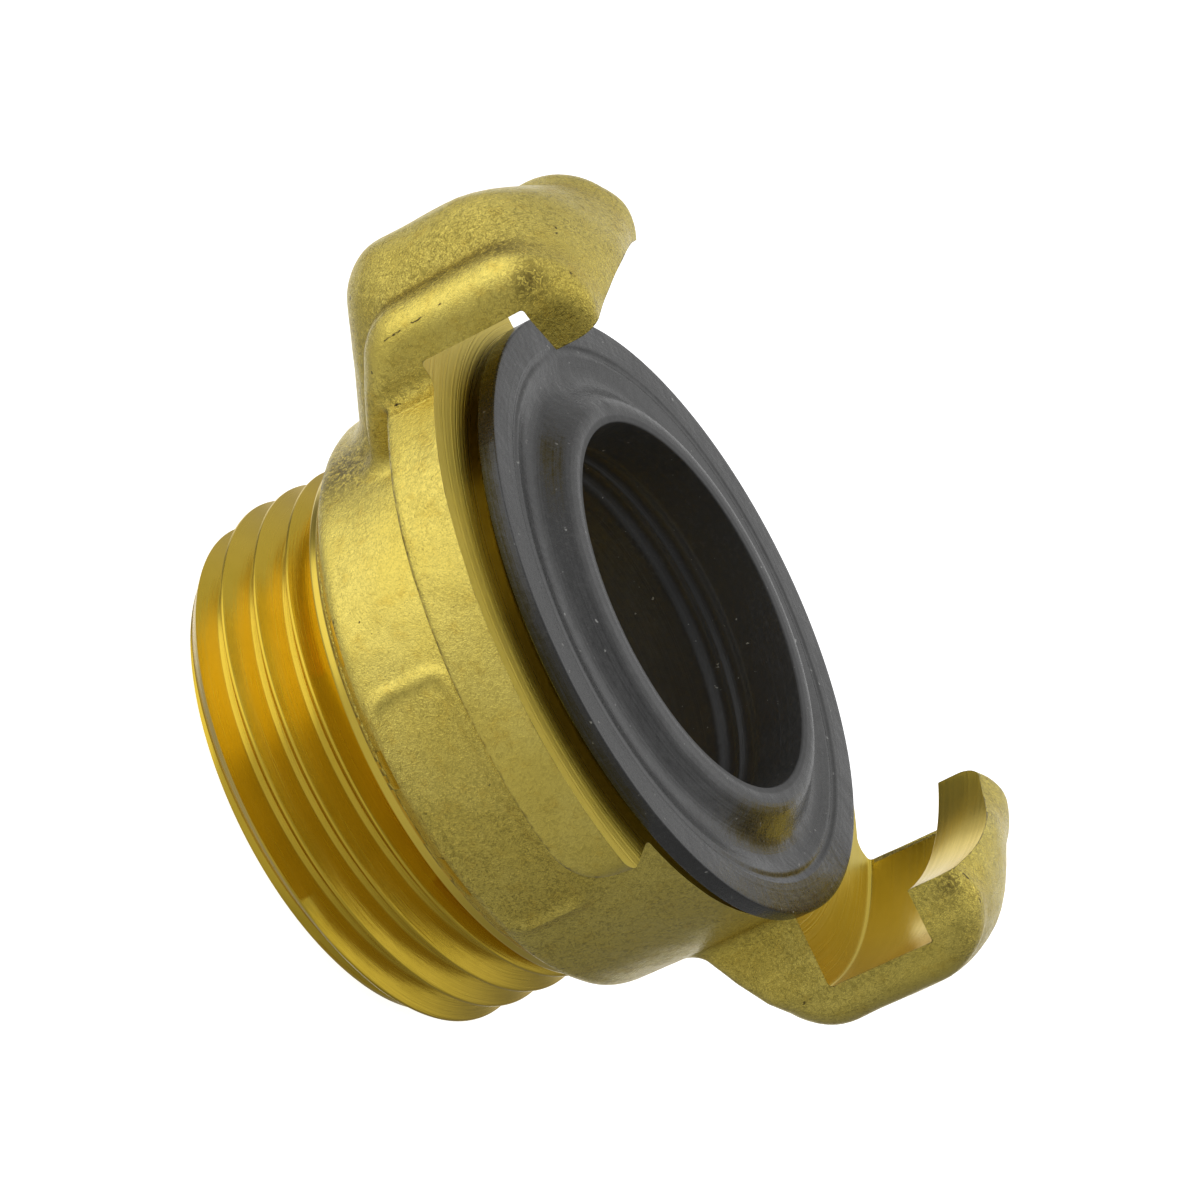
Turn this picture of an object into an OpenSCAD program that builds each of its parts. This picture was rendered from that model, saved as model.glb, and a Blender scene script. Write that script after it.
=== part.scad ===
/* [Thread end] */
// Major diameter of the parallel pipe thread, across the crests
thread_d = 33.25; // [30:0.05:36]
// Length of the threaded spigot, from its end face to the collar's shoulder
thread_len = 10; // [9:0.1:14]
// Width of the thread's lead-in chamfer, along the radius
lead_chamfer = 1.5; // [0.8:0.1:2]
// Height of that chamfer, along the axis
lead_chamfer_h = 0.9; // [0.5:0.1:1.5]
// Diameter of the waterway through the spigot
waterway_d = 22; // [16:0.5:24]
// Chamfer at the waterway's mouth in the end face
waterway_chamfer = 0.6; // [0.2:0.1:1]

/* [Collar] */
// Outside diameter of the forged collar
collar_d = 36.8; // [36:0.1:38]
// Height of the collar, from its shoulder to the turned sealing face
collar_h = 12.3; // [12:0.1:16]
// Chamfer round the collar's shoulder, along the radius
shoulder_chamfer = 1.4; // [0.6:0.1:1.8]
// Width of the flat turned land of the shoulder outside the thread's crests
shoulder_land = 0.4; // [0.2:0.1:0.6]

/* [Cam flange] */
// Diameter across the two flange lobes that the mating claws hook behind
lobe_d = 44.4; // [43:0.1:45.5]
// Thickness of a lobe, along the coupling's axis
lobe_t = 3.4; // [2.5:0.1:4.5]
// How far past the middle of the coupling a lobe reaches, away from its claw
lobe_reach = 5.4; // [0:0.1:8]
// Radius of the rounded lead-in under a lobe's free end
lead_in_r = 3.3; // [2:0.1:3.4]
// Rounding of a lobe's free end, seen along the axis
lobe_round = 1.4; // [0.8:0.1:2]

/* [Claws] */
// Radius of the turned inside of a claw's arm
arm_inner_r = 23.5; // [23.2:0.1:24.2]
// Radius of the turned inner end of a claw's hook
hook_inner_r = 20.2; // [19.6:0.1:21]
// Clear height of the slot between the sealing face and the hook
slot_h = 6.9; // [6:0.05:8]
// Thickness of the hook above the slot
hook_t = 3.9; // [3:0.05:5]
// Angle between a claw's two flat sides, seen along the axis
claw_angle = 38; // [34:0.2:40]
// Greatest width of a claw's arm
claw_w = 15.2; // [13:0.1:16]
// Width of a claw's hook at its top, where its leading side leans in
hook_w = 14; // [12:0.1:15]
// Rounding of the hook's top corners, seen along the claw's radius
hook_round = 2; // [1:0.1:3]
// Distance from the axis to the flat back of the arm
back_x = 25.4; // [25:0.1:26.5]
// How far the rounded crown stands proud of the arm's back
crown_rise = 2.4; // [1.4:0.1:2.8]
// Radius of the crown's round back, seen along the axis
crown_r = 4.4; // [4:0.1:6]
// Height of the claw's root below the sealing face, where it leaves the collar
root_h = 6.6; // [5:0.1:7.5]
// Slope of the root's underside
root_slope = 31; // [24:1:35]
// How much lower the crown's root starts than the sides of the root
crown_drop = 2.1; // [1:0.1:3]
// Slope of the crown's underside
crown_slope = 28; // [20:1:35]
// Radius of the heel under the arm's back, seen from the side
heel_r = 3.8; // [3:0.1:4.5]
// Radius of the heel under the crown
crown_heel_r = 3.6; // [3:0.1:4.5]
// Radius of the round head over the arm's back, seen from the side
head_r = 4.8; // [4:0.1:5]
// Radius of the round head over the crown
crown_head_r = 7.4; // [6:0.1:7.5]
// How much lower the sides of the hook's top are than its middle
head_drop = 0.3; // [0.1:0.05:0.5]
// Rounding of the claw's outer edges
claw_round = 1.8; // [0.8:0.1:2]

/* [Sealing ring] */
// Diameter of the ring's rim, over the sealing face
seal_d = 38; // [37:0.1:39]
// Thickness of the rim
rim_t = 1.1; // [0.8:0.05:1.5]
// Diameter of the bore through the ring
seal_bore_d = 23; // [20:0.1:23.4]
// Height of the raised inner lip above the rim's front face
lip_h = 1.2; // [0.6:0.05:1.6]
// Width of the flat band round the rim's front face
rim_band = 2.1; // [1.5:0.1:3]
// Depth of the hollow between the flat band and the lip
hollow_depth = 0.5; // [0.2:0.05:0.7]
// Width of that hollow
hollow_w = 3.6; // [3:0.1:4]
// Rounding of the lip
lip_round = 1.1; // [0.6:0.1:1.2]
// Depth of the grooves in the bore
groove_depth = 0.4; // [0.2:0.05:0.5]
// Height of one step of those grooves
groove_step = 0.3; // [0.2:0.02:0.36]
// Height of the brass land that carries the rim, above the sealing face
seat_h = 0.7; // [0.4:0.05:1]
// Diameter of that land
seat_d = 34.8; // [34:0.1:36]
// Diameter of the ring's neck in the body's mouth
neck_d = 28; // [27:0.1:29]
// Diameter of the ring's foot in its undercut
foot_d = 31; // [30:0.1:32]
// Depth of the neck above the foot
neck_h = 3; // [2:0.1:4]
// Height of the foot
foot_h = 2; // [1.5:0.1:3]
// Length of the thin sleeve below the foot
sleeve_len = 3; // [1:0.1:4]
// Wall of that sleeve
sleeve_wall = 1.2; // [0.8:0.1:1.5]
// Clearance round the ring in the body
seal_gap = 0.05; // [0.02:0.01:0.1]

/* [Hidden] */
$fn = 96;
thread_r = thread_d / 2;
collar_r = collar_d / 2;
lobe_r = lobe_d / 2;
face_z = thread_len + collar_h;
land_z = face_z + seat_h;
hook_z = face_z + slot_h;
top_z = hook_z + hook_t;
foot_top_z = land_z - neck_h;
foot_z = foot_top_z - foot_h;
sleeve_z = foot_z - sleeve_len;
sleeve_r = seal_bore_d / 2 + sleeve_wall;
crown_x = back_x + crown_rise;
crown_axis_x = crown_x - crown_r;
half_w = claw_w / 2;
overlap = 1;
brass = [0.80, 0.69, 0.30];
rubber = [0.16, 0.16, 0.165];

// Points of a round corner: centre, radius, first and last angle, number of steps
function arc(cx, cz, r, a0, a1, steps = 6) =
    [for (i = [0:steps]) let (a = a0 + (a1 - a0) * i / steps) [cx + r * cos(a), cz + r * sin(a)]];

// Section of the spigot and collar in radius and height
module spigot_section() {
    polygon([
        [waterway_d / 2 + waterway_chamfer, 0],
        [thread_r - lead_chamfer, 0],
        [thread_r, lead_chamfer_h],
        [thread_r, thread_len],
        [thread_r + shoulder_land, thread_len],
        [collar_r, thread_len + shoulder_chamfer],
        [collar_r, face_z],
        [seat_d / 2, face_z],
        [seat_d / 2, land_z],
        [neck_d / 2 + seal_gap, land_z],
        [neck_d / 2 + seal_gap, foot_top_z + seal_gap],
        [foot_d / 2 + seal_gap, foot_top_z + seal_gap],
        [foot_d / 2 + seal_gap, foot_z - seal_gap],
        [sleeve_r + seal_gap, foot_z - seal_gap],
        [sleeve_r + seal_gap, sleeve_z - seal_gap],
        [waterway_d / 2, sleeve_z - seal_gap],
        [waterway_d / 2, waterway_chamfer]
    ]);
}

// Plan of a lobe: it runs from the claw at +X to a flat end across the coupling
module lobe_plan() {
    corner_x = lobe_round - lobe_reach;
    corner_y = sqrt(pow(lobe_r - lobe_round, 2) - pow(corner_x, 2));
    intersection() {
        circle(r = lobe_r);
        union() {
            translate([corner_x, 0])
            square([lobe_r - corner_x, lobe_r]);
            translate([-lobe_reach, 0])
            square([lobe_r, corner_y]);
            translate([corner_x, corner_y])
            circle(r = lobe_round);
        }
    }
}

// Side view of a lobe: under its free end it rises in a round lead-in
module lobe_profile() {
    round_x = lead_in_r - lobe_reach;
    union() {
        translate([round_x, face_z - lobe_t])
        square([lobe_r - round_x, lobe_t]);
        translate([-lobe_reach, face_z - lobe_t + lead_in_r])
        square([lobe_r, lobe_t - lead_in_r]);
        intersection() {
            translate([round_x, face_z - lobe_t + lead_in_r])
            circle(r = lead_in_r);
            translate([-lobe_reach, face_z - lobe_t])
            square([lead_in_r, lobe_t]);
        }
    }
}

// One flange lobe, that the hook of a mating coupling slides behind
module flange_lobe() {
    intersection() {
        translate([0, 0, face_z - lobe_t])
        linear_extrude(height = lobe_t)
        lobe_plan();
        translate([0, lobe_r + overlap, 0])
        rotate([90, 0, 0])
        linear_extrude(height = lobe_r + 2 * overlap)
        lobe_profile();
        difference() {
            cylinder(r = lobe_r + overlap, h = top_z);
            cylinder(r = collar_r - overlap, h = top_z);
        }
    }
}

// Side view of a claw: a sloping root, a round heel, a straight back and a
// round top. reach is the distance of the back from the axis, drop how far the
// root starts below the sealing face, heel and head the radii of its corners
module claw_profile(reach, drop, slope, heel, head, top) {
    heel_x = reach - heel;
    toe_x = heel_x + heel * sin(slope);
    heel_z = face_z - drop + (toe_x - collar_r) * tan(slope) + heel * cos(slope);
    inner_x = collar_r - 2 * overlap;
    polygon(concat(
        [[inner_x, face_z - drop - 2 * overlap * tan(slope)]],
        arc(heel_x, heel_z, heel, slope - 90, 0),
        arc(reach - head, top - head, head, 0, 90, 12),
        [[inner_x, top]]
    ));
}

// Front view of a claw: the hook leans in on its leading side, up to round
// top corners
module claw_front() {
    foot_z = face_z - root_h - crown_drop - 4 * overlap;
    lead_y = half_w - hook_w;
    polygon(concat(
        [[-half_w, foot_z], [half_w, foot_z]],
        arc(half_w - hook_round, top_z - hook_round, hook_round, 0, 90),
        arc(lead_y + hook_round, top_z - hook_round, hook_round, 90, 170),
        [[-half_w, hook_z - hook_round]]
    ));
}

// Plan of a claw's flanks: radial sides with round outer corners
module flank_plan() {
    inner_x = collar_r - 2 * overlap;
    inner_y = inner_x * tan(claw_angle / 2);
    side_x = min(half_w / tan(claw_angle / 2), back_x - claw_round);
    polygon(concat(
        [[inner_x, inner_y], [inner_x, -inner_y], [side_x, -half_w]],
        arc(back_x - claw_round, claw_round - half_w, claw_round, -90, 0),
        arc(back_x - claw_round, half_w - claw_round, claw_round, 0, 90),
        [[side_x, half_w]]
    ));
}

// Plan of the crown: one round back that runs out into the flanks
module crown_plan() {
    inner_x = collar_r - 2 * overlap;
    union() {
        translate([crown_axis_x, 0])
        circle(r = crown_r);
        translate([inner_x, -crown_r])
        square([crown_axis_x - inner_x, 2 * crown_r]);
    }
}

// What a plan and a side view share, as one solid
module plan_by_profile() {
    intersection() {
        linear_extrude(height = top_z + overlap)
        children(0);
        rotate([90, 0, 0])
        linear_extrude(height = claw_w + 2 * overlap, center = true)
        children(1);
    }
}

// Forged blank of a claw at +X, before turning
module claw_blank() {
    intersection() {
        union() {
            plan_by_profile() {
                flank_plan();
                claw_profile(back_x, root_h, root_slope, heel_r, head_r, top_z - head_drop);
            }
            plan_by_profile() {
                crown_plan();
                claw_profile(crown_x, root_h + crown_drop, crown_slope, crown_heel_r, crown_head_r, top_z);
            }
        }
        rotate([90, 0, 90])
        linear_extrude(height = crown_x + overlap)
        claw_front();
    }
}

// What turning takes out of the forging: the slots under the hooks and the
// space between the hooks
module turned_space() {
    translate([0, 0, face_z])
    cylinder(r = hook_inner_r, h = top_z - face_z + 2 * overlap);
    translate([0, 0, face_z])
    cylinder(r = arm_inner_r, h = slot_h);
}

// The brass body: threaded spigot, collar, two cam flange lobes and two claws,
// forged and turned in one piece
module coupling_body() {
    color(brass)
    union() {
        rotate_extrude()
        spigot_section();
        for (turn = [0, 180])
        rotate([0, 0, turn])
        union() {
            flange_lobe();
            difference() {
                claw_blank();
                turned_space();
                cylinder(r = collar_r - overlap, h = top_z + 2 * overlap);
            }
        }
    }
}

// Section of the moulded sealing ring in radius and height
module seal_section() {
    r = seal_d / 2;
    bore = seal_bore_d / 2;
    rim_z = land_z;
    front_z = rim_z + rim_t;
    lip_z = front_z + lip_h;
    hollow_r = (pow(hollow_w / 2, 2) + pow(hollow_depth, 2)) / (2 * hollow_depth);
    hollow_turn = asin(hollow_w / 2 / hollow_r);
    groove_r = bore + groove_depth;
    bead_r = bore - groove_depth / 2;
    polygon(concat(
        [[r, rim_z], [r, front_z - 0.15], [r - 0.15, front_z], [r - rim_band, front_z]],
        arc(r - rim_band - hollow_w / 2, front_z - hollow_depth + hollow_r, hollow_r,
            hollow_turn - 90, -90 - hollow_turn),
        arc(bore + lip_round + 0.2, lip_z - lip_round, lip_round, 60, 180),
        [
            [bore, front_z - 5 * groove_step],
            [groove_r, front_z - 6 * groove_step],
            [groove_r, front_z - 8 * groove_step],
            [bore, front_z - 9 * groove_step],
            [groove_r, front_z - 10 * groove_step],
            [groove_r, front_z - 12 * groove_step],
            [bead_r, front_z - 13 * groove_step],
            [bead_r, front_z - 15 * groove_step],
            [bore, front_z - 16 * groove_step],
            [bore, sleeve_z],
            [sleeve_r, sleeve_z],
            [sleeve_r, foot_z],
            [foot_d / 2, foot_z],
            [foot_d / 2, foot_top_z],
            [neck_d / 2, foot_top_z],
            [neck_d / 2, rim_z]
        ]
    ));
}

// The black rubber sealing ring, snapped into its undercut in the body's mouth
module seal_ring() {
    color(rubber)
    rotate_extrude()
    seal_section();
}

coupling_body();
seal_ring();
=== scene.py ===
"""Looks of one half of a forged-brass quick claw coupling.

The brass is made as the real one is. A forged blank, worked out as a distance
function on a grid, gives the collar, the cam lobes and the crowned claws. A
turned envelope, a profile carried round the axis with the pipe thread wound
into it, then cuts the blank to its sealing face, slots, thread and waterway.
The sealing ring is one moulded profile carried round the axis.

Lengths are in millimetres up to the moment a mesh is written, in the frame of
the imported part: Z along the waterway from the thread's end, X through a claw.
"""

import math

import bmesh
import bpy
import numpy as np
from mathutils import Matrix, Vector


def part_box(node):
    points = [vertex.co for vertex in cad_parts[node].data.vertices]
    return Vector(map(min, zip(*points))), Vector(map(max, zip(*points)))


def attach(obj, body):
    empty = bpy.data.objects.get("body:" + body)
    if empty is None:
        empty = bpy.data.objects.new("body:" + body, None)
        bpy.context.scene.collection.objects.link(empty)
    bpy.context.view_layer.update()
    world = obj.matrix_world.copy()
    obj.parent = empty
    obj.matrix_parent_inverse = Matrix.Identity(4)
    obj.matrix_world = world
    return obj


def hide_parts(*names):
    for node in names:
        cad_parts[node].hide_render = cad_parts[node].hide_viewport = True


MM = 0.001
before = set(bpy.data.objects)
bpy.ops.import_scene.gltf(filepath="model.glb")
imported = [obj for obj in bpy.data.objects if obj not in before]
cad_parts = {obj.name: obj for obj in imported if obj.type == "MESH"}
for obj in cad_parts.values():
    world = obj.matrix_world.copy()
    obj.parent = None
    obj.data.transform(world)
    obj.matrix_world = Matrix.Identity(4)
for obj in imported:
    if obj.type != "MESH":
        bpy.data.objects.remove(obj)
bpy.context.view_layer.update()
BODY_LOW, BODY_HIGH = (np.array(corner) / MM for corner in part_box("coupling_body"))
RING_LOW, RING_HIGH = (np.array(corner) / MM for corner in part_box("seal_ring"))

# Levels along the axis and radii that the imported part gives
CROWN_X = BODY_HIGH[0]
LOBE_R = BODY_HIGH[1]
TOP_Z = BODY_HIGH[2]
RIM_R = RING_HIGH[0]
SLEEVE_Z = RING_LOW[2]
LIP_Z = RING_HIGH[2]

# Levels and radii of the turned brass
FACE_Z = 22.3
HOOK_Z = 29.2
SHOULDER_Z = 9.95
ARM_R = 23.5
HOOK_R = 20.2
WATERWAY_R = 11.0
SEAT_R = 17.4
SEAT_Z = FACE_Z + 0.7

# The forged blank: its collar, its lower end, and the fillets at its lobes and claws
COLLAR_R = 18.4
BLANK_LOW_Z = -0.6
LOBE_FILLET = 0.35
CLAW_FILLET = 0.9

# The pipe thread
CREST_R = 16.62
ROOT_R = 15.14
PITCH = 2.309
CREST_START_Z = 0.21
CREST_START_TURN = 290.05 / 360

# The picture's upward and leftward directions, and the one from the part to the camera
ABOVE = Vector((-0.806, 0.436, 0.401))
LEFT = Vector((-0.520, -0.196, -0.832))
FRONT = Vector((-0.285, -0.878, 0.384))

# Cracks and nicks in the claws' skin, each from one point to another
CRACKS = (
    ((-24.28, -7.24, 21.1), (-24.54, -7.24, 25.0)),
    ((-22.57, -6.16, 32.15), (-19.91, -5.66, 32.28)),
    ((19.97, -5.56, 32.28), (21.94, -5.89, 32.38)),
    ((-24.3, -2.6, 31.5), (-24.1, -3.1, 31.6)),
    ((-20.8, -7.85, 19.7), (-20.7, -7.85, 20.1)),
)

# Spots of painted shade under the claws' heads and of painted shadow on the collar under one root,
# each with its middle and its size
SHADE_SPOTS = (
    ((-23.4, -7.3, 30.4), 1.1),
    ((19.8, -6.3, 31.5), 0.9),
    ((-17.9, -4.0, 13.2), 2.4),
)

# How far noise bends the cracks, in metres
BEND = 0.0006

# Colours of the clean forged metal, of what lies on and in it, and of the painted shade and shadow on
# it, in that order
FORGED_TONES = {
    "clean": (0.86, 0.705, 0.165, 1),
    "cloud": (0.80, 0.64, 0.13, 1),
    "blotch": (0.66, 0.44, 0.05, 1),
    "speckle": (0.34, 0.27, 0.05, 1),
    # Mottled painted shade beside the claws' troughs and under their heads, and a painted shadow on
    # the collar under one root
    "scale": (0.15, 0.11, 0.03, 1),
    "powder": (0.50, 0.39, 0.07, 1),
    "pit": (0.16, 0.12, 0.03, 1),
    # Painted shade in the creases under the lobes and along their lower edges, and a dark line along
    # the forged skin's edge
    "dark_edge_and_crease_shade": (0.10, 0.075, 0.025, 1),
    "crack": (0.09, 0.06, 0.02, 1),
}

# Each turned brass: its name, colour, least and greatest roughness and depth of its lines
TURNED_KINDS = (
    ("turned_brass", (0.80, 0.595, 0.09, 1), 0.16, 0.26, 0.008),
    ("faced_brass", (0.72, 0.56, 0.09, 1), 0.26, 0.36, 0.045),
    # The thread's tone is darker and more orange: painted shade and painted reflection of brass in its
    # grooves
    ("thread_brass_painted_shade", (0.74, 0.52, 0.055, 1), 0.18, 0.28, 0.012),
)

# Colours of the rubber: its dark and its pale parts, its worn grain and the dust on it
RUBBER_DARK = (0.011, 0.011, 0.0107, 1)
RUBBER_PALE = (0.022, 0.022, 0.0214, 1)
RUBBER_WORN = (0.050, 0.050, 0.048, 1)
DUST = (0.34, 0.34, 0.32, 1)

# Grid of the blank, and how many steps the turned surfaces make round the axis
CELL = 0.25
TURN_STEPS = 240


def rounded_both(first, second, radius):
    """Inside both shapes: the larger distance, with a round edge where they meet."""
    flat = np.minimum(np.maximum(first, second), -radius)
    return flat + np.hypot(np.maximum(first + radius, 0), np.maximum(second + radius, 0))


def filleted_either(first, second, radius):
    """Inside either shape: the smaller distance, with a hollow fillet in the corner."""
    flat = np.maximum(np.minimum(first, second), radius)
    return flat - np.hypot(np.maximum(radius - first, 0), np.maximum(radius - second, 0))


def bell(value, breadth):
    """One at nothing, falling off to nothing over about twice this breadth."""
    return np.exp(-((value / breadth) ** 2))


def ramp(value, start, end):
    """Nothing up to start, one from end on, and straight between them."""
    return np.clip((value - start) / (end - start), 0, 1)


def arc(x, z, radius, start, end, steps=9):
    """Points of a round corner about x, z, from one angle in degrees to another."""
    turn = np.radians(np.linspace(start, end, steps))
    return np.stack([x + radius * np.cos(turn), z + radius * np.sin(turn)], axis=1)


def outline_distance(x, z, outline):
    """Distance to a closed outline, negative inside.

    For every edge, the nearest point on it is the foot of the perpendicular,
    held between the edge's ends. A point is inside if a level ray from it
    crosses the outline an odd number of times.
    """
    nearest = np.full(np.broadcast(x, z).shape, np.inf)
    odd = np.zeros(nearest.shape, bool)
    for (x0, z0), (x1, z1) in zip(outline, np.roll(outline, -1, axis=0)):
        along_x, along_z = x1 - x0, z1 - z0
        length = along_x**2 + along_z**2
        if length == 0:
            continue
        share = np.clip(((x - x0) * along_x + (z - z0) * along_z) / length, 0, 1)
        gap = np.hypot(x - x0 - share * along_x, z - z0 - share * along_z)
        nearest = np.minimum(nearest, gap)
        if z0 != z1:
            crossing = x0 + (z - z0) * along_x / along_z
            odd ^= ((z0 > z) != (z1 > z)) & (x < crossing)
    return np.where(odd, -nearest, nearest)


def claw_outline(back, drop, slope, heel, head, top, past=0):
    """Side view of a claw: sloping root, round heel, straight back, round head.

    back is how far the back stands from the axis, drop how far below the
    sealing face the root leaves the collar, slope the root's angle. The head
    turns by past degrees beyond its top, and falls off towards the axis.
    """
    toe = back - heel + heel * math.sin(math.radians(slope))
    rise = (toe - COLLAR_R) * math.tan(math.radians(slope))
    heel_z = FACE_Z - drop + rise + heel * math.cos(math.radians(slope))
    inner = COLLAR_R - 5
    over = arc(back - head, top - head, head, 0, 90 + past, 15)
    fall = (over[-1, 0] - inner) * math.tan(math.radians(past))
    return np.concatenate([
        [[inner, FACE_Z - drop - 5 * math.tan(math.radians(slope))]],
        arc(back - heel, heel_z, heel, slope - 90, 0),
        over,
        [[inner, over[-1, 1] - fall]],
    ])


FLANK_OUTLINE = claw_outline(25.37, 6.45, 30.5, 4.0, 4.6, TOP_Z - 0.5)
CROWN_OUTLINE = claw_outline(CROWN_X, 8.7, 27.8, 3.95, 7.8, TOP_Z - 0.05, 5)


def crown_share(y, z):
    """How much of its crown a claw at +X shows: one in the middle, less to the sides.

    The share falls off as a power of the width. Past the crown's edge it turns
    softly into a band, sloped on one side and level on the other, with a
    trough between them that runs out on the head.
    """
    crown_half, falloff, softness = 4.4, 1.75, 0.12
    band_share, band_start, band_end = 0.15, 4.0, 6.6
    trough_low, trough_climb, trough_depth = 4.1, 0.5, 0.14
    level_trough, level_depth, trough_breadth = 4.7, 0.1, 0.9
    width = np.abs(y)
    share = 1 - (width / crown_half) ** falloff
    band = band_share * (y > 0) * ramp(width, band_end, band_start) * ramp(z, 31, 27)
    share = (share + band + np.hypot(share - band, softness)) / 2
    at = np.where(y > 0, trough_low - trough_climb * ramp(z, 21, 28), level_trough)
    deep = np.where(y > 0, trough_depth * ramp(z, 30.5, 26.5), level_depth)
    return share - deep * bell(width - at, trough_breadth)


def claw_distance(x, y, z):
    """A claw at +X: its side view blends from flank to crown across its width.

    The sides are radial up to the arm's full width. The one that meets a
    mating lobe leans in towards the top of the hook. The hook's end is round,
    and below it the claw reaches in to the collar.
    """
    radial, arm_half, shift = math.tan(math.radians(19.3)), 7.63, 0.06
    end_x, end_rounding, reach_from = 17.0, 4.6, 27
    flank = outline_distance(x, z, FLANK_OUTLINE)
    crown = outline_distance(x, z, CROWN_OUTLINE)
    profile = flank + (crown - flank) * crown_share(y, z)
    lean = 0.8 * ramp(z, HOOK_Z - 1.6, TOP_Z) ** 1.5 + 0.16 * ramp(z, FACE_Z, FACE_Z + 7) - 0.08
    side = np.abs(y + shift) - np.minimum(x * radial, arm_half) + lean * (y < 0)
    end = end_x - x - 2 * np.maximum(reach_from - z, 0)
    edge_rounding = 1.0 + 0.9 * ramp(x, 20, 23)
    return rounded_both(rounded_both(profile, end, end_rounding), side, edge_rounding)


def lobe_views(x, z, radius):
    """Distances to the cam lobe that runs from the claw at +X: in plan and from the side.

    Its underside rises in a round lead-in towards its flat end past the Y
    axis, and its corner is round in plan too.
    """
    reach, lead_in, plan_corner, thickness = 5.45, 3.5, 1.4, 3.35
    plan = rounded_both(-reach - x, radius - LOBE_R, plan_corner)
    side = rounded_both(-reach - x, FACE_Z - thickness - z, lead_in)
    return plan, side


def lobe_distance(x, y, z, radius):
    """The cam lobe: inside both its views, with a round lower edge."""
    section = rounded_both(*lobe_views(x, z, radius), LOBE_FILLET)
    return np.maximum(np.maximum(section, -y - 2), z - FACE_Z - 1)


def unevenness(x, y, z):
    """Gentle waves of the forged skin: a sum of sines in random directions."""
    random = np.random.default_rng(7)
    wave = 0.0
    for length, height in ((7.0, 0.012), (5.0, 0.010), (3.6, 0.007), (2.6, 0.004), (1.9, 0.003)):
        for _ in range(3):
            way = random.normal(size=3)
            way *= 2 * math.pi / length / np.linalg.norm(way)
            shift = random.uniform(0, 2 * math.pi)
            wave = wave + height * np.sin(way[0] * x + way[1] * y + way[2] * z + shift)
    return wave


def border_height(x, y, z, radius):
    """A soft raised rectangle on the collar, left empty.

    The collar is unrolled round the rectangle's middle. Within a rounded
    rectangle's outline the height falls off as a bell.
    """
    middle, half_along, half_up = math.radians(-92), 8.2, 2.6
    middle_z, corner, breadth, height = 14.6, 1.2, 0.40, 0.24
    along = np.arctan2(y * math.cos(middle) - x * math.sin(middle),
                       x * math.cos(middle) + y * math.sin(middle)) * COLLAR_R
    out_along = np.abs(along) - half_along + corner
    out_up = np.abs(z - middle_z) - half_up + corner
    outside = np.hypot(np.maximum(out_along, 0), np.maximum(out_up, 0))
    edge = outside + np.minimum(np.maximum(out_along, out_up), 0) - corner
    return height * bell(edge, breadth) * bell(radius - COLLAR_R, 1.0)


def blank_distance(x, y, z, fine=True):
    """The whole forged blank: spigot, collar, two lobes and two claws."""
    body, lobe, claw = blank_parts(x, y, z)
    body = filleted_either(body, lobe, LOBE_FILLET)
    body = filleted_either(body, claw, CLAW_FILLET)
    if fine:
        body = body + unevenness(x, y, z) - border_height(x, y, z, np.hypot(x, y))
    return body


def lobe_crease(x, y, z):
    """How near a point lies to the crease under a lobe or to its lower edge, from 0 to 1."""
    body, lobe, _ = blank_parts(x, y, z)
    plan, side = lobe_views(np.where(y < 0, -x, x), z, np.hypot(x, y))
    nearest = np.minimum(np.hypot(body, lobe), np.hypot(plan, side) + np.abs(lobe))
    return bell(nearest, 0.26)


def blank_parts(x, y, z):
    """Distances to the blank's collar with its spigot, to its lobes and to its claws.

    The half turn that carries one claw to the other is folded away: claws by
    the sign of x, lobes by the sign of y.
    """
    allowance, spigot_top, collar_foot, foot_rounding = 0.8, 20.0, 10.8, 1.3
    radius = np.hypot(x, y)
    spigot = np.maximum(BLANK_LOW_Z - z, z - spigot_top)
    spigot = np.maximum(radius - CREST_R - allowance, spigot)
    collar = rounded_both(radius - COLLAR_R, collar_foot - z, foot_rounding)
    collar = np.maximum(collar, z - TOP_Z + 5)
    body = np.minimum(collar, spigot)
    x_side = np.where(x < 0, -1.0, 1.0)
    y_side = np.where(y < 0, -1.0, 1.0)
    lobe = lobe_distance(x * y_side, y * y_side, z, radius)
    claw = claw_distance(x * x_side, y * x_side, z)
    return body, lobe, claw


def net_of(distance, low, cell):
    """Points and quads where a distance, sampled on a grid, passes through zero.

    Every grid cube that the surface enters gets one point, the mean of where
    the surface crosses its edges. Every crossed edge joins the four cubes
    round it by a quad, turned so that it faces out.
    """
    inside = distance < 0
    cubes = np.array(distance.shape) - 1
    sums = np.zeros((4, cubes.prod()))
    quads = []
    for axis in range(3):
        others = [(axis + 1) % 3, (axis + 2) % 3]
        near = [slice(None)] * 3
        far = [slice(None)] * 3
        near[axis], far[axis] = slice(0, -1), slice(1, None)
        near, far = tuple(near), tuple(far)
        place = np.array(np.nonzero(inside[near] != inside[far]))
        before, after = distance[near][tuple(place)], distance[far][tuple(place)]
        point = place.astype(float)
        point[axis] += before / (before - after)
        ring = []
        for step in ((0, 0), (1, 0), (1, 1), (0, 1)):
            cube = place.copy()
            cube[others[0]] -= step[0]
            cube[others[1]] -= step[1]
            index = np.ravel_multi_index(tuple(cube), cubes)
            for row in range(3):
                sums[row] += np.bincount(index, point[row], cubes.prod())
            sums[3] += np.bincount(index, minlength=cubes.prod())
            ring.append(index)
        ring = np.stack(ring, axis=1)
        flip = before > 0
        ring[flip] = ring[flip][:, ::-1]
        quads.append(ring)
    quads = np.concatenate(quads)
    used, quads = np.unique(quads, return_inverse=True)
    points = (sums[:3, used] / sums[3, used]).T * cell + low
    return points, quads.reshape(-1, 4)


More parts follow.
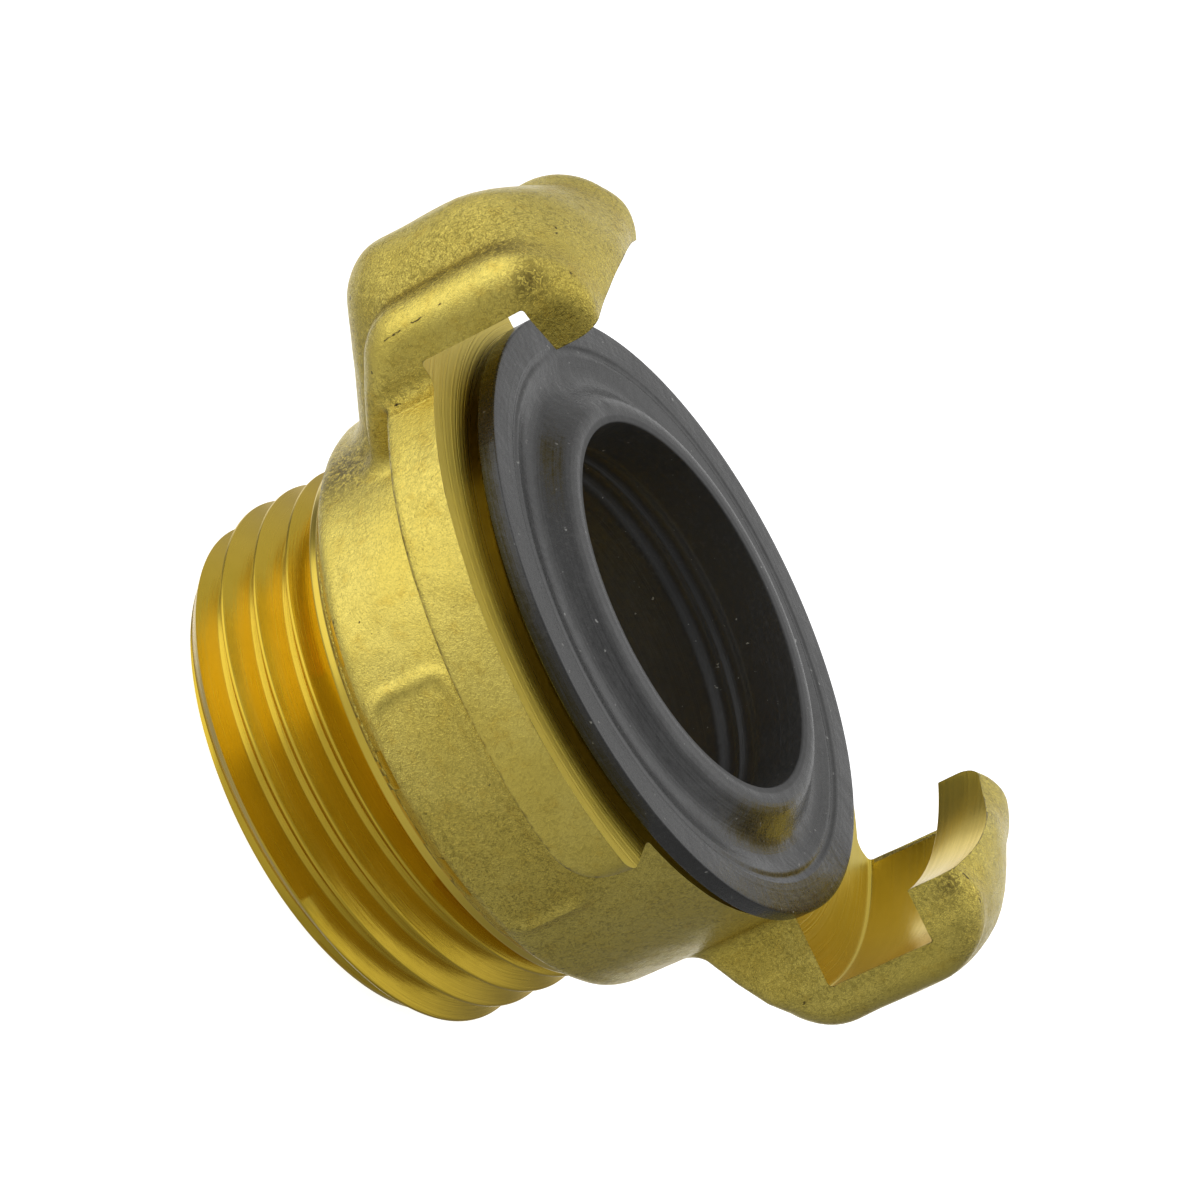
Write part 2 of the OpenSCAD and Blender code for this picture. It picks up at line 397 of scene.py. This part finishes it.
def settle(points, distance, rounds=3, reach=0.02):
    """Moves points along the distance's slope until they lie on its surface.

    No step is longer than half a cell, and a square of the slope under its
    least value counts as that, so that a flat spot throws no point far. In the
    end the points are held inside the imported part's box.
    """
    least_square = 0.2
    for _ in range(rounds):
        here = distance(*points.T)
        slope = np.stack([
            (distance(*(points + reach * side).T) - distance(*(points - reach * side).T))
            for side in np.eye(3)
        ], axis=1) / (2 * reach)
        square = np.maximum((slope**2).sum(axis=1), least_square)
        step = np.clip(here / square, -CELL / 2, CELL / 2)
        points = points - step[:, None] * slope
    return np.clip(points, BODY_LOW, BODY_HIGH)


def mesh_object(name, points, faces):
    """An object at the origin from points in millimetres and a list of faces."""
    mesh = bpy.data.meshes.new(name)
    mesh.from_pydata((points * MM).tolist(), [], faces.tolist())
    mesh.update()
    item = bpy.data.objects.new(name, mesh)
    bpy.context.scene.collection.objects.link(item)
    return item


def clean(item):
    """Merges points that coincide and turns every face outwards."""
    shape = bmesh.new()
    shape.from_mesh(item.data)
    bmesh.ops.remove_doubles(shape, verts=shape.verts, dist=1e-7)
    bmesh.ops.recalc_face_normals(shape, faces=shape.faces)
    shape.to_mesh(item.data)
    shape.free()


def carried_round(name, rows):
    """A closed profile carried round the axis.

    rows holds a radius and a level for each profile point and each angle, the
    last angle being the first one again. The last row joins the first.
    """
    rows = np.asarray(rows)
    count, steps = rows.shape[0], rows.shape[2]
    turn = np.linspace(0, 2 * math.pi, steps)
    points = np.stack([
        rows[:, 0] * np.cos(turn), rows[:, 0] * np.sin(turn), rows[:, 1]
    ], axis=-1).reshape(-1, 3)
    row, column = np.meshgrid(np.arange(count), np.arange(steps - 1), indexing="ij")
    after = (row + 1) % count
    faces = np.stack([
        row * steps + column, row * steps + column + 1,
        after * steps + column + 1, after * steps + column,
    ], axis=-1).reshape(-1, 4)
    item = mesh_object(name, points, faces)
    clean(item)
    return item


def rounded_path(corners):
    """Profile points from corners of radius, level and rounding.

    A rounded corner is replaced by a quadratic arc between two points that lie
    its rounding away from the corner along either side.
    """
    path = []
    for index, (radius, level, rounding) in enumerate(corners):
        here = np.array([radius, level])
        if not rounding:
            path.append(here)
            continue
        before = np.array(corners[index - 1][:2]) - here
        after = np.array(corners[(index + 1) % len(corners)][:2]) - here
        before *= rounding / np.linalg.norm(before)
        after *= rounding / np.linalg.norm(after)
        for share in np.linspace(0, 1, 7):
            path.append(here + before * (1 - share) ** 2 + after * share**2)
    return path


def plain_rows(path):
    """Rows of a profile that is the same at every angle."""
    steps = np.ones(TURN_STEPS + 1)
    return [[radius * steps, level * steps] for radius, level in path]


def thread_rows():
    """Rows of the pipe thread, wound so that each follows the helix.

    A row lies at a fixed place between two crests, and climbs one pitch in a
    turn to the right. Its radius comes from the thread's form, and the
    lead-in chamfer at the end limits it. Past the ends a row stays level.
    """
    form_at = np.array([0, 0.07, 0.16, 0.84, 0.96, PITCH / 2])
    form_r = np.array([CREST_R, CREST_R - 0.01, CREST_R - 0.10, ROOT_R + 0.12, ROOT_R + 0.02, ROOT_R])
    places = np.concatenate([form_at, PITCH - form_at[-2:0:-1]])
    turn = np.linspace(0, 1, TURN_STEPS + 1)
    rows = []
    for crest in range(-2, 7):
        for place in places:
            level = CREST_START_Z + PITCH * (crest + turn + CREST_START_TURN) + place
            level = np.clip(level, 0, SHOULDER_Z)
            from_crest = (level - CREST_START_Z) / PITCH - turn - CREST_START_TURN
            from_crest = np.abs(from_crest - np.round(from_crest)) * PITCH
            radius = np.interp(from_crest, form_at, form_r)
            radius = np.minimum(radius, ROOT_R + 0.02 + 0.9 * level)
            rows.append([radius, level])
    return rows


def turned_envelope():
    """Everything that the lathe leaves: a closed profile with the thread in it.

    Outside the blank the profile swings wide, so that only the surfaces that
    are really turned touch it.
    """
    beyond_r, beyond_z, under_blank = CROWN_X + 3, TOP_Z + 2, 12.7
    neck_r, foot_r, sleeve_r = 14.05, 15.55, 12.75
    foot_top, foot_low = SEAT_Z - 2.95, SEAT_Z - 5.05
    sleeve_low = SLEEVE_Z - 0.05
    outer = rounded_path([
        (17.0, SHOULDER_Z, 0.08),
        (17.04, SHOULDER_Z + 0.45, 0.05),
        (19.6, under_blank, 0),
        (beyond_r, under_blank, 0),
        (beyond_r, beyond_z, 0),
        (HOOK_R, beyond_z, 0),
        (HOOK_R, HOOK_Z, 0.06),
        (ARM_R, HOOK_Z, 0.25),
        (ARM_R, FACE_Z, 0.35),
        (SEAT_R, FACE_Z, 0.1),
        (SEAT_R, SEAT_Z, 0.05),
        (neck_r, SEAT_Z, 0.05),
        (neck_r, foot_top, 0),
        (foot_r, foot_top, 0),
        (foot_r, foot_low, 0),
        (sleeve_r, foot_low, 0),
        (sleeve_r, sleeve_low, 0),
        (WATERWAY_R, sleeve_low, 0.1),
        (WATERWAY_R, 0.6, 0.1),
        (WATERWAY_R + 0.6, 0, 0.1),
    ])
    return carried_round("turned_envelope", thread_rows() + plain_rows(outer))


def forged_blank():
    """The blank's mesh, from its distance on a grid of small cubes."""
    margin = 4 * CELL
    low = np.array([-CROWN_X - margin, -LOBE_R - margin, BLANK_LOW_Z - margin])
    high = np.array([CROWN_X + margin, LOBE_R + margin, TOP_Z + margin])
    count = np.ceil((high - low) / CELL).astype(int) + 1
    x, y, z = np.meshgrid(*(low[i] + CELL * np.arange(count[i]) for i in range(3)),
                          indexing="ij", sparse=True)
    distance = blank_distance(x, y, z, fine=False)
    points, quads = net_of(distance, low, CELL)
    points = settle(points, blank_distance)
    return mesh_object("forged_blank", points, quads)


def cut_to(item, envelope):
    """The part of one closed mesh that lies within another, as a new mesh."""
    cut = item.modifiers.new("turned", "BOOLEAN")
    cut.operation = "INTERSECT"
    cut.solver = "MANIFOLD"
    cut.object = envelope
    graph = bpy.context.evaluated_depsgraph_get()
    mesh = bpy.data.meshes.new_from_object(item.evaluated_get(graph))
    item.modifiers.clear()
    mesh.materials.clear()
    item.data = mesh
    bpy.data.objects.remove(envelope)


def smooth_but_for_edges(item, angle):
    """Smooth shading, with every edge sharper than this angle kept sharp."""
    item.data.shade_smooth()
    item.data.set_sharp_from_angle(angle=math.radians(angle))


def tell_turned(body):
    """Gives a face its material: forged, or turned where it lies inside the blank's skin.

    Of the turned ones, the sealing face and the thread have a material each.
    """
    skin, level = 0.07, 0.05
    mesh = body.data
    centre = np.empty(len(mesh.polygons) * 3)
    mesh.polygons.foreach_get("center", centre)
    x, y, z = centre.reshape(-1, 3).T / MM
    kind = (blank_distance(x, y, z) < -skin).astype(np.int32)
    kind[(kind == 1) & (np.abs(z - FACE_Z) < level)] = 2
    kind[(kind == 1) & (z < SHOULDER_Z - 0.02) & (np.hypot(x, y) > WATERWAY_R + 1)] = 3
    mesh.polygons.foreach_set("material_index", kind)
    return kind


def vertex_places(body):
    """The x, y and z of every vertex in millimetres."""
    place = np.empty(len(body.data.vertices) * 3)
    body.data.vertices.foreach_get("co", place)
    return place.reshape(-1, 3).T / MM


def mark_vertices(body, name, share):
    """Gives every vertex a number, under a name that the material reads."""
    body.data.attributes.new(name, "FLOAT", "POINT").data.foreach_set("value", share)


def tell_edge_line_and_crease_shade(body, kind):
    """Marks a dark line along the edge of the forged skin, and painted shade in the creases under the
    lobes and along their lower edges.
    """
    mesh = body.data
    corner = np.empty(len(mesh.loops), np.int32)
    mesh.loops.foreach_get("vertex_index", corner)
    sides = np.empty(len(mesh.polygons), np.int32)
    mesh.polygons.foreach_get("loop_total", sides)
    forged = np.repeat(kind == 0, sides)
    edge_line_and_crease_shade = np.zeros(len(mesh.vertices))
    edge_line_and_crease_shade[np.intersect1d(corner[forged], corner[~forged])] = 1
    # Painted shade near the lobes' creases and lower edges, joined to the dark line at the skin's edge
    mark_vertices(body, "edge_line_and_crease_shade", np.maximum(edge_line_and_crease_shade, 0.9 * lobe_crease(*vertex_places(body))))


def tell_smooth_and_highlit(body):
    """Marks where the forging is smoothest, and where its colour is kept paler as a painted highlight.

    That is on the lobes' rims, on the collar below them round one direction
    and its opposite, and on the middle and the ridges of the claws' backs.
    """
    collar_turn, claw_start, back_start, ridge_at = math.radians(-136), 20.5, 21, 6.9
    x, y, z = vertex_places(body)
    out, width, radius = np.abs(x), np.abs(y), np.hypot(x, y)
    rim = bell(radius - LOBE_R, 0.7) * (out < claw_start)
    collar = np.maximum(np.cos(2 * (np.arctan2(y, x) - collar_turn)), 0)
    collar = collar * bell(radius - COLLAR_R, 1.2)
    backs = bell(width - ridge_at, 1.0) + 0.8 * bell(width - 0.6, 1.4)
    backs = backs * ramp(out, back_start, back_start + 2) * ramp(z, 31, 29)
    # Where this mark is high the skin is smoother and paler: painted highlight on the collar's two
    # sides, the lobes' rims and the claws' backs
    mark_vertices(body, "smooth_and_highlit", np.clip(rim + collar + backs, 0, 1))


def tell_mottled_shade(body):
    """Marks mottled painted shade: beside the claws' troughs and under both heads, and a painted
    shadow at one root.
    """
    band_at, band_breadth, band_share, back_start = 4.9, 0.95, 0.95, 22
    x, y, z = vertex_places(body)
    local_y = np.where(x < 0, -y, y)
    mottled_shade = band_share * bell(local_y - band_at, band_breadth) * (np.abs(x) > back_start)
    mottled_shade = mottled_shade * ramp(z, 31, 29)
    for spot, size in SHADE_SPOTS:
        gap = np.sqrt((x - spot[0]) ** 2 + (y - spot[1]) ** 2 + (z - spot[2]) ** 2)
        mottled_shade = np.maximum(mottled_shade, bell(gap, size))
    # Mottled painted shade and painted shadow
    mark_vertices(body, "mottled_shade", mottled_shade)


def brass_body():
    """The brass piece: the blank cut to the turned envelope.

    Its materials are in the order of the numbers that tell_turned gives.
    """
    body = forged_blank()
    cut_to(body, turned_envelope())
    body.name = "brass_body"
    body.data.materials.append(forged_brass())
    for kind in TURNED_KINDS:
        body.data.materials.append(turned_brass(*kind))
    tell_edge_line_and_crease_shade(body, tell_turned(body))
    tell_smooth_and_highlit(body)
    tell_mottled_shade(body)
    smooth_but_for_edges(body, 32)
    return body


def sealing_ring():
    """The moulded ring: one closed profile, from its rim to its thin sleeve."""
    front = SEAT_Z + 1.1
    bore, sleeve_r, neck_r, foot_r = 11.5, 12.7, 14.0, 15.5
    foot_top, foot_low = SEAT_Z - 3, SEAT_Z - 5
    outline = rounded_path([
        (RIM_R, SEAT_Z, 0.12),
        (RIM_R, front, 0.18),
        (17.05, front - 0.02, 0.12),
        (16.75, front - 0.22, 0.15),
        (16.4, front - 0.12, 0.15),
        (14.8, front - 0.66, 1.1),
        (12.75, LIP_Z + 0.05, 0.75),
        (bore + 0.08, LIP_Z - 0.17, 0.12),
        (bore, front - 2.1, 0.2),
        (bore + 0.35, front - 2.6, 0.25),
        (bore + 0.35, front - 3.2, 0.25),
        (bore + 0.1, front - 3.5, 0.15),
        (bore + 0.3, front - 3.8, 0.15),
        (bore + 0.3, front - 4.3, 0.25),
        (bore - 0.1, front - 4.8, 0.25),
        (bore, SLEEVE_Z, 0.1),
        (sleeve_r, SLEEVE_Z, 0.1),
        (sleeve_r, foot_low, 0),
        (foot_r, foot_low, 0),
        (foot_r, foot_top, 0),
        (neck_r, foot_top, 0),
        (neck_r, SEAT_Z, 0),
    ])
    ring = carried_round("rubber_ring", plain_rows(outline))
    smooth_but_for_edges(ring, 40)
    ring.data.materials.append(rubber())
    return ring


class Nodes:
    """A node tree with short calls: value in, socket out."""

    def __init__(self, tree):
        self.tree = tree

    def add(self, kind, output=0, settings=None, **inputs):
        """A node of this kind, with one of its outputs given back.

        Its inputs are set or linked by name, or by an underscore and a number.
        """
        node = self.tree.nodes.new("ShaderNode" + kind)
        for name, value in (settings or {}).items():
            setattr(node, name, value)
        for name, value in inputs.items():
            key = int(name[1:]) if name[1:].isdigit() else name.replace("_", " ")
            self.set(node.inputs[key], value)
        return node.outputs[output]

    def set(self, slot, value):
        """Links a socket to this one, or sets its constant."""
        if isinstance(value, bpy.types.NodeSocket):
            self.tree.links.new(value, slot)
        else:
            slot.default_value = value

    def math(self, operation, first, second=0.0):
        """One operation of two numbers."""
        return self.add("Math", settings={"operation": operation}, _0=first, _1=second)

    def product(self, first, second):
        """Two numbers multiplied."""
        return self.math("MULTIPLY", first, second)

    def vector(self, operation, output=0, **inputs):
        """One operation of vectors."""
        return self.add("VectorMath", output, {"operation": operation}, **inputs)

    def parts(self, vector):
        """The X, Y and Z of a vector."""
        node = self.tree.nodes.new("ShaderNodeSeparateXYZ")
        self.set(node.inputs[0], vector)
        return node.outputs

    def mark(self, name):
        """A number that the mesh has at every vertex."""
        return self.add("Attribute", "Fac", {"attribute_name": name})

    def noise(self, place, scale, detail=2.0, roughness=0.5, distortion=0.0):
        """Noise from 0 to 1 whose features are a thousand over scale millimetres."""
        return self.add("TexNoise", Vector=place, Scale=scale, Detail=detail, Roughness=roughness,
                        Distortion=distortion)

    def spread(self, value, low, high, to_low=0.0, to_high=1.0):
        """A value carried smoothly from one range to another."""
        return self.add("MapRange", settings={"interpolation_type": "SMOOTHSTEP"}, Value=value,
                        From_Min=low, From_Max=high, To_Min=to_low, To_Max=to_high)

    def mixed(self, share, first, second):
        """One colour turning into another."""
        return self.add("MixRGB", Fac=share, Color1=first, Color2=second)

    def bump(self, height, depth, strength=1.0, normal=None):
        """Relief of this depth in millimetres, over another one if given."""
        node = self.tree.nodes.new("ShaderNodeBump")
        node.inputs["Distance"].default_value = depth * MM
        self.set(node.inputs["Strength"], strength)
        self.set(node.inputs["Height"], height)
        if normal is not None:
            self.set(node.inputs["Normal"], normal)
        return node.outputs[0]


def new_material(name):
    """A material with its node tree, its shader and the object's coordinates."""
    material = bpy.data.materials.new(name)
    material.use_nodes = True
    nodes = Nodes(material.node_tree)
    shader = material.node_tree.nodes["Principled BSDF"]
    place = nodes.add("TexCoord", "Object")
    return material, nodes, shader, place


def round_the_axis(nodes, place):
    """Distance from the axis, and level, as a vector: a pattern on it makes rings."""
    part = nodes.parts(place)
    across = nodes.add("CombineXYZ", X=part["X"], Y=part["Y"])
    return nodes.add("CombineXYZ", X=nodes.vector("LENGTH", "Value", _0=across), Y=part["Z"])


def near_line(nodes, place, start, end, core, edge):
    """One within a core round the straight line between two points, nothing past its edge.

    The place has noise of up to BEND added to it, so the line is shifted by
    half of that.
    """
    start, end = (Vector(point) * MM + Vector((BEND / 2,) * 3) for point in (start, end))
    length, way = (end - start).length, (end - start).normalized()
    from_start = nodes.vector("SUBTRACT", _0=place, _1=start)
    share = nodes.math("MAXIMUM", along(nodes, from_start, way), 0.0)
    share = nodes.math("MINIMUM", share, length)
    foot = nodes.vector("SCALE", _0=way, Scale=share)
    gap = nodes.vector("DISTANCE", "Value", _0=from_start, _1=foot)
    return nodes.spread(gap, core * MM, edge * MM, 1, 0)


def forged_brass():
    """Forged brass: glossy and finely grained, with what lies on and in its skin, painted shade and
    shadow on it, and a paler painted highlight where it is smoothest.
    """
    material, nodes, shader, place = new_material("forged_brass")
    shader.inputs["Metallic"].default_value = 1.0
    blotch = nodes.noise(place, 1000, 4, 0.6)
    grain = nodes.noise(place, 3300, 3, 0.65, 1.2)
    fine = nodes.noise(place, 7500, 2, 0.7, 1.5)
    smooth_and_highlit = nodes.mark("smooth_and_highlit")
    patch = nodes.spread(nodes.noise(place, 150, 4, 0.7), 0.36, 0.60, 0.40, 1.0)
    # Less dark speckle where the skin is smooth and carries the painted highlight
    patch = nodes.product(patch, nodes.spread(smooth_and_highlit, 0, 1, 1, 0.4))
    nodes.set(shader.inputs["Base Color"], forged_tone(nodes, place, blotch, grain, fine, smooth_and_highlit, patch))
    nodes.set(shader.inputs["Roughness"], nodes.spread(blotch, 0.3, 0.75, 0.17, 0.26))
    relief = nodes.bump(blotch, 0.018)
    for height, depth in (
        (nodes.product(grain, nodes.spread(patch, 0, 1, 0.5, 1.6)), 0.05),
        (nodes.product(fine, nodes.spread(smooth_and_highlit, 0, 1, 1, 0.4)), 0.06),
    ):
        relief = nodes.bump(height, depth, normal=relief)
    nodes.set(shader.inputs["Normal"], relief)
    return material


def forged_tone(nodes, place, blotch, grain, fine, smooth_and_highlit, patch):
    """Colour of the forged skin: clean metal, then one layer after another over it."""
    cloud = nodes.spread(nodes.noise(place, 190, 4, 0.6), 0.35, 0.65)
    speckle = nodes.product(nodes.spread(grain, 0.42, 0.66), nodes.spread(fine, 0.3, 0.6, 0.4, 1))
    pits = nodes.noise(place, 1500, 3, 0.7)
    # Painted shade at the lobes' creases and lower edges, and the dark line at the skin's edge, broken
    # up by noise
    dark_edge_and_crease_shade = nodes.math("ADD", nodes.mark("edge_line_and_crease_shade"), nodes.spread(blotch, 0.3, 0.7, -0.3, 0.3))
    layers = {
        "cloud": cloud,
        "blotch": nodes.spread(blotch, 0.5, 0.78, 0, 0.45),
        "speckle": nodes.product(speckle, nodes.spread(patch, 0, 1, 0.15, 0.8)),
        # Mottled painted shade in the troughs and under the heads, and painted shadow at one root
        "scale": nodes.product(nodes.spread(grain, 0.32, 0.58), nodes.mark("mottled_shade")),
        # Less powder where the skin is smooth and carries the painted highlight
        "powder": nodes.product(nodes.spread(fine, 0.35, 0.65), nodes.spread(smooth_and_highlit, 0, 1, 0.45, 0.1)),
        "pit": nodes.spread(pits, 0.70, 0.76),
        # Painted crease shade and the dark skin-edge line
        "dark_edge_and_crease_shade": nodes.spread(dark_edge_and_crease_shade, 0.35, 0.95, 0, 0.7),
    }
    tone = FORGED_TONES["clean"]
    for name, share in layers.items():
        tone = nodes.mixed(share, tone, FORGED_TONES[name])
    bend = nodes.add("TexNoise", "Color", Vector=place, Scale=1300.0, Detail=3.0)
    bent = nodes.vector("MULTIPLY_ADD", _0=bend, _1=(BEND,) * 3, _2=place)
    for start, end in CRACKS:
        tone = nodes.mixed(near_line(nodes, bent, start, end, 0.02, 0.09), tone, FORGED_TONES["crack"])
    return tone


def turned_brass(name, tone, smoothest, roughest, depth):
    """Turned brass of this tone, with lines of this depth round the axis."""
    material, nodes, shader, place = new_material(name)
    shader.inputs["Metallic"].default_value = 1.0
    rings = round_the_axis(nodes, place)
    lines = nodes.noise(rings, 7000, 3, 0.7)
    cloud = nodes.noise(place, 260, 4, 0.6)
    darker = tuple(0.94 * part for part in tone[:2]) + (0.85 * tone[2], 1)
    nodes.set(shader.inputs["Base Color"], nodes.mixed(nodes.spread(cloud, 0.3, 0.7), tone, darker))
    nodes.set(shader.inputs["Roughness"], nodes.spread(lines, 0.3, 0.7, smoothest, roughest))
    nodes.set(shader.inputs["Normal"], nodes.bump(lines, depth))
    return material


def rubber():
    """Black moulded rubber: satin, matt in the bore, with worn grain, faint rings and dust."""
    material, nodes, shader, place = new_material("rubber")
    matt_until, matt_past = 11.9 * MM, 12.1 * MM
    lengths = round_the_axis(nodes, place)
    cloud = nodes.noise(place, 150, 4, 0.6)
    grain = nodes.noise(place, 4200, 3, 0.7)
    rings = nodes.noise(lengths, 3000, 3, 0.7)
    worn = nodes.product(nodes.spread(grain, 0.45, 0.75), nodes.spread(cloud, 0.35, 0.65, 0.15, 0.9))
    dust = nodes.spread(nodes.noise(place, 2100, 2, 0.6), 0.72, 0.76)
    tone = nodes.mixed(cloud, RUBBER_DARK, RUBBER_PALE)
    tone = nodes.mixed(worn, tone, RUBBER_WORN)
    nodes.set(shader.inputs["Base Color"], nodes.mixed(dust, tone, DUST))
    matt = nodes.spread(nodes.parts(lengths)["X"], matt_until, matt_past, 0.25, 0)
    rough = nodes.math("ADD", nodes.spread(grain, 0.3, 0.7, 0.22, 0.34), matt)
    nodes.set(shader.inputs["Roughness"], rough)
    shader.inputs["Specular IOR Level"].default_value = 0.78
    relief = nodes.bump(cloud, 0.25)
    relief = nodes.bump(grain, 0.012, normal=relief)
    relief = nodes.bump(rings, 0.03, normal=relief)
    nodes.set(shader.inputs["Normal"], relief)
    return material


def camera():
    """The photograph's view: its place in millimetres, its angles in degrees.

    The back vector is the part's front turned by the azimuth and raised by the
    elevation, and the picture is then rolled about it.
    """
    place = np.array([-86.74, -259.28, 133.43]) * MM
    azimuth, elevation, roll = np.radians([-17.95, 22.56, 63.8])
    back = np.array([
        math.sin(azimuth) * math.cos(elevation),
        -math.cos(azimuth) * math.cos(elevation),
        math.sin(elevation),
    ])
    level = np.array([math.cos(azimuth), math.sin(azimuth), 0])
    above = np.cross(back, level)
    right = math.cos(roll) * level + math.sin(roll) * above
    turned = Matrix(np.stack([right, np.cross(back, right), back], axis=1).tolist()).to_4x4()
    data = bpy.data.cameras.new("camera")
    data.lens = 152.25
    data.sensor_width = 36
    data.clip_start = 0.01
    item = bpy.data.objects.new("camera", data)
    item.matrix_world = Matrix.Translation(place) @ turned
    bpy.context.scene.collection.objects.link(item)
    bpy.context.scene.camera = item


def along(nodes, place, way):
    """How far a vector reaches along a direction."""
    return nodes.vector("DOT_PRODUCT", "Value", _0=place, _1=way)


def room_light(nodes, path):
    """How bright the room is in each direction, for all but the camera.

    A dim room, lighter in front and to the picture's top and left. It has one
    large softbox at the upper left with a dark gap behind it, a second one at
    the right with a brighter middle, and the white backdrop behind the part,
    wider to the upper left and to the right.

    Each source joins the ones before it by an operation. It has a direction,
    how far along it the source begins and is full, and its level before and
    after.
    """
    dim = 0.22
    softbox = (LEFT * 0.6 + ABOVE * 0.7 + FRONT * 0.3).normalized()
    gap = (LEFT * 0.6 + ABOVE * 0.65 - FRONT * 0.5).normalized()
    right = (ABOVE * 0.25 - LEFT * 0.96 - FRONT * 0.05).normalized()
    middle = (ABOVE * 0.25 - LEFT * 0.95 - FRONT * 0.15).normalized()
    behind = (ABOVE * 0.25 + LEFT * 0.25 - FRONT).normalized()
    beside = (ABOVE * 0.15 - LEFT * 0.35 - FRONT * 0.9).normalized()
    sources = (
        ("ADD", FRONT, -0.3, 0.7, 0, 0.12),
        ("ADD", ABOVE, 0.1, 0.9, 0, 0.32),
        ("ADD", LEFT, 0.0, 0.95, 0, 0.22),
        ("ADD", softbox, 0.70, 0.81, 0, 0.55),
        ("MULTIPLY", gap, 0.94, 0.98, 1, 0.3),
        ("ADD", right, 0.66, 0.90, 0, 0.5),
        ("ADD", middle, 0.90, 0.97, 0, 0.6),
        ("MAXIMUM", -FRONT, 0.88, 0.95, 0, 1),
        ("MAXIMUM", behind, 0.90, 0.97, 0, 1),
        ("MAXIMUM", beside, 0.82, 0.95, 0, 0.74),
    )
    place = nodes.add("TexCoord", "Generated")
    room = dim
    for operation, way, *levels in sources:
        room = nodes.math(operation, room, nodes.spread(along(nodes, place, way), *levels))
    return nodes.math("MAXIMUM", room, path["Is Camera Ray"])


def studio():
    """A graded white room, and a pale floor that only the camera sees."""
    world = bpy.data.worlds.new("studio")
    bpy.context.scene.world = world
    world.use_nodes = True
    nodes = Nodes(world.node_tree)
    path = nodes.tree.nodes.new("ShaderNodeLightPath").outputs
    sky = world.node_tree.nodes["Background"]
    sky.inputs["Color"].default_value = (1, 1, 1, 1)
    nodes.set(sky.inputs["Strength"], room_light(nodes, path))
    bpy.ops.mesh.primitive_plane_add(size=3)
    floor = bpy.context.active_object
    floor.name = "floor"
    floor.data.materials.append(floor_paint())


def floor_paint():
    """Matt white that glows a little, and is clear to all rays but the camera's."""
    paint = bpy.data.materials.new("floor")
    paint.use_nodes = True
    nodes = Nodes(paint.node_tree)
    path = nodes.tree.nodes.new("ShaderNodeLightPath").outputs
    shader = paint.node_tree.nodes["Principled BSDF"]
    shader.inputs["Base Color"].default_value = (0.8, 0.8, 0.8, 1)
    shader.inputs["Roughness"].default_value = 1.0
    shader.inputs["Specular IOR Level"].default_value = 0.0
    shader.inputs["Emission Color"].default_value = (1, 1, 1, 1)
    shader.inputs["Emission Strength"].default_value = 0.9
    clear = nodes.add("BsdfTransparent")
    seen = nodes.add("MixShader", _0=path["Is Camera Ray"], _1=clear, _2=shader.outputs[0])
    nodes.set(paint.node_tree.nodes["Material Output"].inputs["Surface"], seen)
    return paint


camera()
studio()
body = brass_body()
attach(body, "root")
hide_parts("coupling_body")
ring = sealing_ring()
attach(ring, "root")
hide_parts("seal_ring")
bpy.context.scene.view_settings.view_transform = "Standard"
